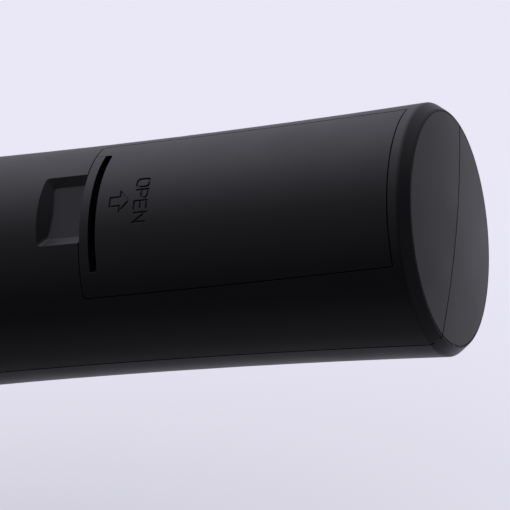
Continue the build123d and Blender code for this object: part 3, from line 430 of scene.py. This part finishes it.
class Paintshop:
    """Makes each finish once and gives it to the pieces that wear it."""

    def __init__(self) -> None:
        """Start with the shared effects and no materials."""
        self.effects = Effects()
        self.made: dict[str, bpy.types.Material] = {}

    def material(self, finish: Finish) -> bpy.types.Material:
        """Return the finish's material, building it the first time."""
        if finish.name not in self.made:
            self.made[finish.name] = finish.build(self.effects)
        return self.made[finish.name]

    def dress(self, piece: bpy.types.Object, finish: Finish) -> None:
        """Give a piece one finish all over."""
        piece.data.materials.clear()
        piece.data.materials.append(self.material(finish))

    def dress_nodes(self, nodes: dict[str, bpy.types.Object]) -> None:
        """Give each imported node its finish, and the cells their jackets."""
        for name, finish in NODE_FINISHES.items():
            self.dress(nodes[name], finish)
        for name, towards_tail in (("battery_cell_a", False), ("battery_cell_b", True)):
            low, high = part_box(name)
            band_start = high.x - CELL_BAND if towards_tail else low.x + CELL_BAND
            jacket = CellJacket(
                f"jacket_of_{name}", (0.01, 0.01, 0.012), roughness=0.3, coat=0.4, grain_depth=0.0,
                band_start=band_start, band_towards_tail=towards_tail,
            )
            self.dress(nodes[name], jacket)
        LOG.info("dressed %d nodes", len(nodes))


# ---------------------------------------------------------------- shared mesh helpers
def add_piece(name: str, mesh: bpy.types.Mesh) -> bpy.types.Object:
    """Link a new object with this mesh at the origin and return it."""
    piece = bpy.data.objects.new(name, mesh)
    bpy.context.scene.collection.objects.link(piece)
    return piece


def applied_mesh(source: bpy.types.Object) -> bpy.types.Mesh:
    """Return an object's mesh with its modifiers applied or its curve filled, and delete the object."""
    depsgraph = bpy.context.evaluated_depsgraph_get()
    mesh = bpy.data.meshes.new_from_object(source.evaluated_get(depsgraph))
    mesh.name = source.name
    bpy.data.objects.remove(source)
    return mesh


def wire_mesh(name: str, paths: Iterator[list[Vector]], radius: float) -> bpy.types.Mesh:
    """Sweep a round wire along each path.

    Args:
        name: the mesh's name.
        paths: each wire's points.
        radius: the wire's radius in metres.
    Returns:
        One mesh with all the wires, their ends closed.
    """
    curve = bpy.data.curves.new(name, "CURVE")
    curve.dimensions = "3D"
    curve.bevel_depth = radius
    curve.bevel_resolution = 1
    curve.use_fill_caps = True
    for points in paths:
        spline = curve.splines.new("POLY")
        spline.points.add(len(points) - 1)
        spline.points.foreach_set("co", [part for point in points for part in (*point, 1.0)])
    return applied_mesh(add_piece(name, curve))


# ---------------------------------------------------------------- woven grille
@dataclass(frozen=True)
class WovenGrille:
    """Round-wire cloth pressed into a dome over the ball and a barrel under it.

    The wires' centres lie far enough under the solids' surface for the waves of the weave to stay
    inside it. Angles around the axis start at +Y and turn towards +Z.
    """

    wire_radius: float = 0.24 * MM
    pitch: float = 1.55 * MM
    wave: float = 0.24 * MM
    clearance: float = 0.04 * MM
    steps_per_pitch: int = 3
    tuck: float = 0.5 * MM
    belly: float = 0.35 * MM

    @property
    def depth(self) -> float:
        """Depth of the cloth's middle under the solids' surface."""
        return self.clearance + self.wire_radius + self.wave

    def dome_wires(self, box: Box) -> Iterator[list[Vector]]:
        """Yield the dome's wires, a square lattice bent over the ball in both directions."""
        low, high = box
        rim_radius, rise = high.y, high.x - low.x
        ball_radius = (rim_radius**2 + rise**2) / (2 * rise)
        centre_x = low.x + ball_radius
        edge_angle = math.acos((centre_x - high.x - self.tuck) / ball_radius)
        reach = edge_angle * ball_radius
        step = self.pitch / self.steps_per_pitch
        count = int(reach / self.pitch)
        for index in range(-count, count + 1):
            offset = index * self.pitch
            half = math.sqrt(reach**2 - offset**2)
            places = [-half + step * n for n in range(int(2 * half / step) + 1)]
            for lengthwise in (True, False):
                turn = (1 if lengthwise else -1) * (-1) ** index
                points = []
                for place in places:
                    across, up = (place, offset) if lengthwise else (offset, place)
                    wave = self.wave * turn * math.cos(math.pi * place / self.pitch)
                    angle = math.hypot(across, up) / ball_radius
                    bearing = math.atan2(up, across)
                    radius = ball_radius - self.depth + wave
                    ring = radius * math.sin(angle)
                    points.append(Vector((
                        centre_x - radius * math.cos(angle),
                        ring * math.cos(bearing),
                        ring * math.sin(bearing),
                    )))
                yield points

    def barrel_wires(self, box: Box, foot_radius: float, head_radius: float) -> Iterator[list[Vector]]:
        """Yield the barrel's wires, two families of helices that cross at right angles.

        Args:
            box: the barrel's corners.
            foot_radius: radius of the surface at the foot, towards the tail.
            head_radius: radius of the surface at the band.
        """
        low, high = box
        length = high.x - low.x
        mean_radius = (foot_radius + head_radius) / 2
        count = round(math.tau * mean_radius / (self.pitch * math.sqrt(2)))
        crossing = math.pi * mean_radius / count
        steps = int(length / crossing * self.steps_per_pitch)
        for index in range(count):
            for way in (1, -1):
                points = []
                for step in range(steps + 1):
                    share = step / steps
                    along = share * length
                    bulge = 4 * self.belly * share * (1 - share)
                    surface = foot_radius + (head_radius - foot_radius) * share + bulge
                    wave = self.wave * way * math.cos(math.pi * along / crossing)
                    radius = surface - self.depth + wave
                    angle = math.tau * index / count + way * along / mean_radius
                    across, up = radius * math.cos(angle), radius * math.sin(angle)
                    points.append(Vector((high.x - along, across, up)))
                yield points

    def build(self, shop: Paintshop) -> None:
        """Make both cloths, which replace the solid shells that stand for them."""
        dome_paths = self.dome_wires(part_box("upper_mesh"))
        dome = add_piece("dome_cloth", wire_mesh("dome_cloth", dome_paths, self.wire_radius))
        foot_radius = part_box("grille_gasket")[1].y
        head_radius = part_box("upper_mesh")[1].y
        barrel_paths = self.barrel_wires(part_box("lower_mesh"), foot_radius, head_radius)
        barrel = add_piece("barrel_cloth", wire_mesh("barrel_cloth", barrel_paths, self.wire_radius))
        for cloth, node in ((dome, "upper_mesh"), (barrel, "lower_mesh")):
            shop.dress(cloth, LACQUER)
            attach(cloth, "grille")
            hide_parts(node)
            LOG.info("%s has %d faces", cloth.name, len(cloth.data.polygons))


# ---------------------------------------------------------------- foams
@dataclass(frozen=True)
class FoamPiece:
    """Open-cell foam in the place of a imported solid, with an uneven skin."""

    node: str
    body: str
    name: str
    voxel: float
    sink: float
    unevenness: float
    lump: float = 2.2 * MM
    dimension: float = 1.0
    lacunarity: float = 2.0
    octaves: int = 3
    merge_distance: float = 0.001 * MM
    smoothing: float = 0.3

    def build(self, shop: Paintshop, nodes: dict[str, bpy.types.Object]) -> None:
        """Remesh a merged copy of the node, sink its skin and roughen it."""
        source = bmesh.new()
        source.from_mesh(nodes[self.node].data)
        bmesh.ops.remove_doubles(source, verts=source.verts, dist=self.merge_distance)
        merged = bpy.data.meshes.new(self.name)
        source.to_mesh(merged)
        source.free()
        copy = add_piece(self.name, merged)
        remesh = copy.modifiers.new("remesh", "REMESH")
        remesh.mode = "VOXEL"
        remesh.voxel_size = self.voxel
        skin = bmesh.new()
        skin.from_mesh(applied_mesh(copy))
        skin.normal_update()
        for vertex in skin.verts:
            place = vertex.co / self.lump
            bump = noise.fractal(place, self.dimension, self.lacunarity, self.octaves)
            vertex.co -= vertex.normal * (self.sink + self.unevenness * bump)
        every_axis = {"use_axis_x": True, "use_axis_y": True, "use_axis_z": True}
        bmesh.ops.smooth_vert(skin, verts=skin.verts, factor=self.smoothing, **every_axis)
        for face in skin.faces:
            face.smooth = True
        mesh = bpy.data.meshes.new(self.name)
        skin.to_mesh(mesh)
        skin.free()
        foam = add_piece(self.name, mesh)
        shop.dress(foam, FOAM)
        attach(foam, self.body)
        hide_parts(self.node)
        LOG.info("%s has %d faces", foam.name, len(foam.data.polygons))


# ---------------------------------------------------------------- display
@dataclass(frozen=True)
class DisplaySegments:
    """Seven-segment digits and a battery gauge on the display, dark on its pale cell.

    A digit reads from the tail, so its top points to -X and its right side to +Y.
    """

    digit_height: float = 7.0 * MM
    digit_width: float = 3.6 * MM
    digit_pitch: float = 5.2 * MM
    stroke: float = 0.7 * MM
    gap: float = 0.12 * MM
    thickness: float = 0.03 * MM
    shown: str = "24"
    digits_rise: float = 2.0 * MM
    gauge_drop: float = 6.0 * MM
    gauge_bars: int = 3
    gauge_pitch: float = 1.5 * MM
    gauge_bar: tuple[float, float] = (1.8 * MM, 1.0 * MM)
    lit: tuple[tuple[str, str], ...] = (("2", "abged"), ("4", "fgbc"))

    def bar(self, mesh: bmesh.types.BMesh, centre: Vector, along: float, across: float) -> None:
        """Add one flat bar, its length along X."""
        size = Matrix.Diagonal((along, across, self.thickness, 1.0))
        bmesh.ops.create_cube(mesh, size=1.0, matrix=Matrix.Translation(centre) @ size)

    def digit(self, mesh: bmesh.types.BMesh, centre: Vector, figure: str) -> None:
        """Add the lit segments of one figure."""
        half_height, half_width = self.digit_height / 2, self.digit_width / 2
        upright = half_height - self.stroke / 2 - 2 * self.gap
        level = self.digit_width - self.stroke - 2 * self.gap
        segments = {
            "a": (-half_height, 0.0, True), "g": (0.0, 0.0, True), "d": (half_height, 0.0, True),
            "f": (-half_height / 2, -half_width, False), "b": (-half_height / 2, half_width, False),
            "e": (half_height / 2, -half_width, False), "c": (half_height / 2, half_width, False),
        }
        for key in dict(self.lit)[figure]:
            down, right, is_level = segments[key]
            lengths = (self.stroke, level) if is_level else (upright, self.stroke)
            self.bar(mesh, centre + Vector((down, right, 0.0)), *lengths)

    def build(self, shop: Paintshop) -> None:
        """Place the digits and the gauge on the display's upper face."""
        low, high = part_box("display_module")
        middle = Vector(((low.x + high.x) / 2, (low.y + high.y) / 2, high.z + self.thickness / 2))
        mesh = bmesh.new()
        for place, figure in enumerate(self.shown):
            right = (place - (len(self.shown) - 1) / 2) * self.digit_pitch
            self.digit(mesh, middle + Vector((-self.digits_rise, right, 0.0)), figure)
        for place in range(self.gauge_bars):
            right = (place - (self.gauge_bars - 1) / 2) * self.gauge_pitch
            self.bar(mesh, middle + Vector((self.gauge_drop, right, 0.0)), *self.gauge_bar)
        data = bpy.data.meshes.new("display_segments")
        mesh.to_mesh(data)
        mesh.free()
        segments = add_piece("display_segments", data)
        shop.dress(segments, SEGMENT)
        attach(segments, "handset")


# ---------------------------------------------------------------- studio
@dataclass(frozen=True)
class Glow:
    """Soft patch of light in the surroundings, brightest in one direction."""

    direction: tuple[float, float, float]
    strength: float
    sharpness: float

    def build(self, graph: Graph, direction: Socket) -> Socket:
        """Return the patch's brightness in a direction."""
        centre = Vector(self.direction).normalized()[:]
        facing = graph.math("MAXIMUM", graph.dot(direction, centre), 0.0)
        return graph.math("MULTIPLY", graph.math("POWER", facing, self.sharpness), self.strength)


@dataclass(frozen=True)
class PaintedFloorShadow:
    """Painted shadow: a soft long patch painted into the floor's colour, darker towards its middle."""

    middle: tuple[float, float]
    shortening: float
    reach: float
    strength: float

    def build(self, graph: Graph, place: Socket) -> Socket:
        """Return how much the painted shadow darkens the floor's colour at a place."""
        axes = graph.node("SeparateXYZ", {0: place})
        from_middle = graph.math("SUBTRACT", axes.outputs[0], self.middle[0])
        along = graph.math("MULTIPLY", from_middle, self.shortening)
        across = graph.math("SUBTRACT", axes.outputs[1], self.middle[1])
        square = graph.math("MULTIPLY_ADD", along, along, graph.math("MULTIPLY", across, across))
        near = graph.ramp(graph.math("SQRT", square), self.reach, 0.0)
        return graph.math("MULTIPLY", graph.math("MULTIPLY", near, near), self.strength)


@dataclass(frozen=True)
class Studio:
    """Pale floor, light that comes mostly from behind, and the camera.

    The camera sees the floor's own pale colour, darkened by a painted shadow beside the object, with
    a little of its real shading. Glossy rays pass the floor and see surroundings that glow behind the
    object and fall away in front of it.
    """

    floor_level: float
    floor_half_size: float = 6.0
    backdrop: Colour = (0.89, 0.872, 1.0)
    shading_share: float = 0.1
    floor_albedo: Colour = (0.7, 0.69, 0.76)
    tint: Colour = (0.88, 0.87, 1.0)
    overhead: float = 0.01
    base: float = 0.02
    floor_base: float = 0.15
    horizon: tuple[float, float] = (0.1, -0.2)
    glows: tuple[Glow, ...] = (
        Glow((-0.3, 0.85, 0.43), 1.35, 3.9),        # main light, high behind
        Glow((-0.38, 0.92, -0.1), 0.25, 6.0),       # level with the object, behind
        Glow((-0.05, 0.42, -0.9), 0.95, 6.5),       # bounce from the floor behind
        Glow((-0.45, 0.15, -0.88), 0.25, 14.0),     # bounce from the floor under the head
        Glow((-0.3, -0.3, 0.9), 0.22, 12.0),        # overhead
        Glow((0.74, -0.5, 0.42), 0.18, 7.0),        # fill in front of the tail
        Glow((0.7, 0.65, 0.3), 0.12, 5.0),          # fill behind the tail
        Glow((-0.97, -0.1, 0.2), 0.6, 12.0),        # fill from the head's side
    )
    # painted shadow: a soft patch beside the object, painted into the floor's colour
    shade: PaintedFloorShadow = PaintedFloorShadow((0.01, -0.062), 0.33, 0.085, 0.4)
    camera_place: tuple[float, float, float] = (0.290097, -0.247882, 0.448960)
    camera_right: tuple[float, float, float] = (0.92181314, 0.10014521, -0.37447494)
    camera_up: tuple[float, float, float] = (0.08538091, 0.8898709, 0.44815162)
    camera_lens: float = 212.1
    camera_clip: tuple[float, float] = (0.01, 50.0)

    def build_camera(self) -> None:
        """Create the camera, turned so that the handle lies level across the frame."""
        data = bpy.data.cameras.new("camera")
        data.lens = self.camera_lens
        data.clip_start, data.clip_end = self.camera_clip
        camera = bpy.data.objects.new("camera", data)
        up = Vector(self.camera_up).normalized()
        back = Vector(self.camera_right).cross(up).normalized()
        turn = Matrix((up.cross(back), up, back)).transposed().to_4x4()
        camera.matrix_world = Matrix.Translation(Vector(self.camera_place)) @ turn
        bpy.context.scene.collection.objects.link(camera)
        bpy.context.scene.camera = camera

    def build_floor(self) -> None:
        """Create the floor under the object."""
        mesh = bmesh.new()
        bmesh.ops.create_grid(mesh, x_segments=1, y_segments=1, size=self.floor_half_size)
        bmesh.ops.translate(mesh, verts=mesh.verts, vec=(0, 0, self.floor_level))
        data = bpy.data.meshes.new("floor")
        mesh.to_mesh(data)
        mesh.free()
        floor = add_piece("floor", data)
        data.materials.append(self.floor_material())
        floor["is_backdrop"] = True

    def floor_material(self) -> bpy.types.Material:
        """Build the floor's material."""
        made = bpy.data.materials.new("floor_pale")
        made.use_nodes = True
        made.node_tree.nodes.clear()
        graph = Graph(made.node_tree)
        # painted shadow: the floor's pale colour darkens towards black inside the shadow patch
        colour = graph.blend(self.shade.build(graph, graph.place()), self.backdrop, BLACK)
        matt = graph.node("BsdfDiffuse", {"Color": self.floor_albedo})
        shown = graph.node("Emission", {"Color": colour})
        rays = graph.node("LightPath").outputs
        own_colour = graph.math("MULTIPLY", rays["Is Camera Ray"], 1 - self.shading_share)
        seen = graph.node("MixShader", {0: own_colour, 1: matt.outputs[0], 2: shown.outputs[0]})
        clear = graph.node("BsdfTransparent")
        glossy = rays["Is Glossy Ray"]
        mixed = graph.node("MixShader", {0: glossy, 1: seen.outputs[0], 2: clear.outputs[0]})
        graph.node("OutputMaterial", {"Surface": mixed.outputs[0]})
        return made

    def build_world(self) -> None:
        """Build glows all round for light, and a plain pale backdrop for the camera."""
        world = bpy.data.worlds.new("studio")
        world.use_nodes = True
        world.node_tree.nodes.clear()
        graph = Graph(world.node_tree)
        direction = graph.node("TexCoord").outputs["Generated"]
        height = graph.node("SeparateXYZ", {0: direction}).outputs[2]
        raised = graph.math("MAXIMUM", height, 0.0)
        above = graph.math("MULTIPLY_ADD", raised, self.overhead, self.base)
        below = graph.math("MULTIPLY", graph.ramp(height, *self.horizon), self.floor_base)
        strength = graph.math("ADD", above, below)
        for glow in self.glows:
            strength = graph.math("ADD", strength, glow.build(graph, direction))
        sky = graph.node("Background", {"Color": self.tint, "Strength": strength})
        shown = graph.node("Background", {"Color": self.backdrop})
        camera = graph.node("LightPath").outputs["Is Camera Ray"]
        mixed = graph.node("MixShader", {0: camera, 1: sky.outputs[0], 2: shown.outputs[0]})
        graph.node("OutputWorld", {"Surface": mixed.outputs[0]})
        bpy.context.scene.world = world

    def build(self) -> None:
        """Build the floor, the surroundings and the camera."""
        self.build_floor()
        self.build_world()
        self.build_camera()
        bpy.context.scene.view_settings.view_transform = "Standard"
        LOG.info("studio ready")


def main() -> None:
    """Build the pieces in order, then the studio."""
    logging.basicConfig(level=logging.INFO, format="%(name)s: %(message)s")
    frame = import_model()
    packed_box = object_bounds()
    nodes = frame["nodes"]
    shop = Paintshop()
    shop.dress_nodes(nodes)
    WovenGrille().build(shop)
    FoamPiece(
        node="foam_liner", body="grille", name="grille_foam",
        voxel=0.55 * MM, sink=0.5 * MM, unevenness=0.12 * MM,
    ).build(shop, nodes)
    FoamPiece(
        node="door_foam_pad", body="battery_door", name="door_foam",
        voxel=0.14 * MM, sink=0.0, unevenness=0.05 * MM,
    ).build(shop, nodes)
    DisplaySegments().build(shop)
    Studio(floor_level=packed_box[0].z).build()


if __name__ == "__main__":
    main()
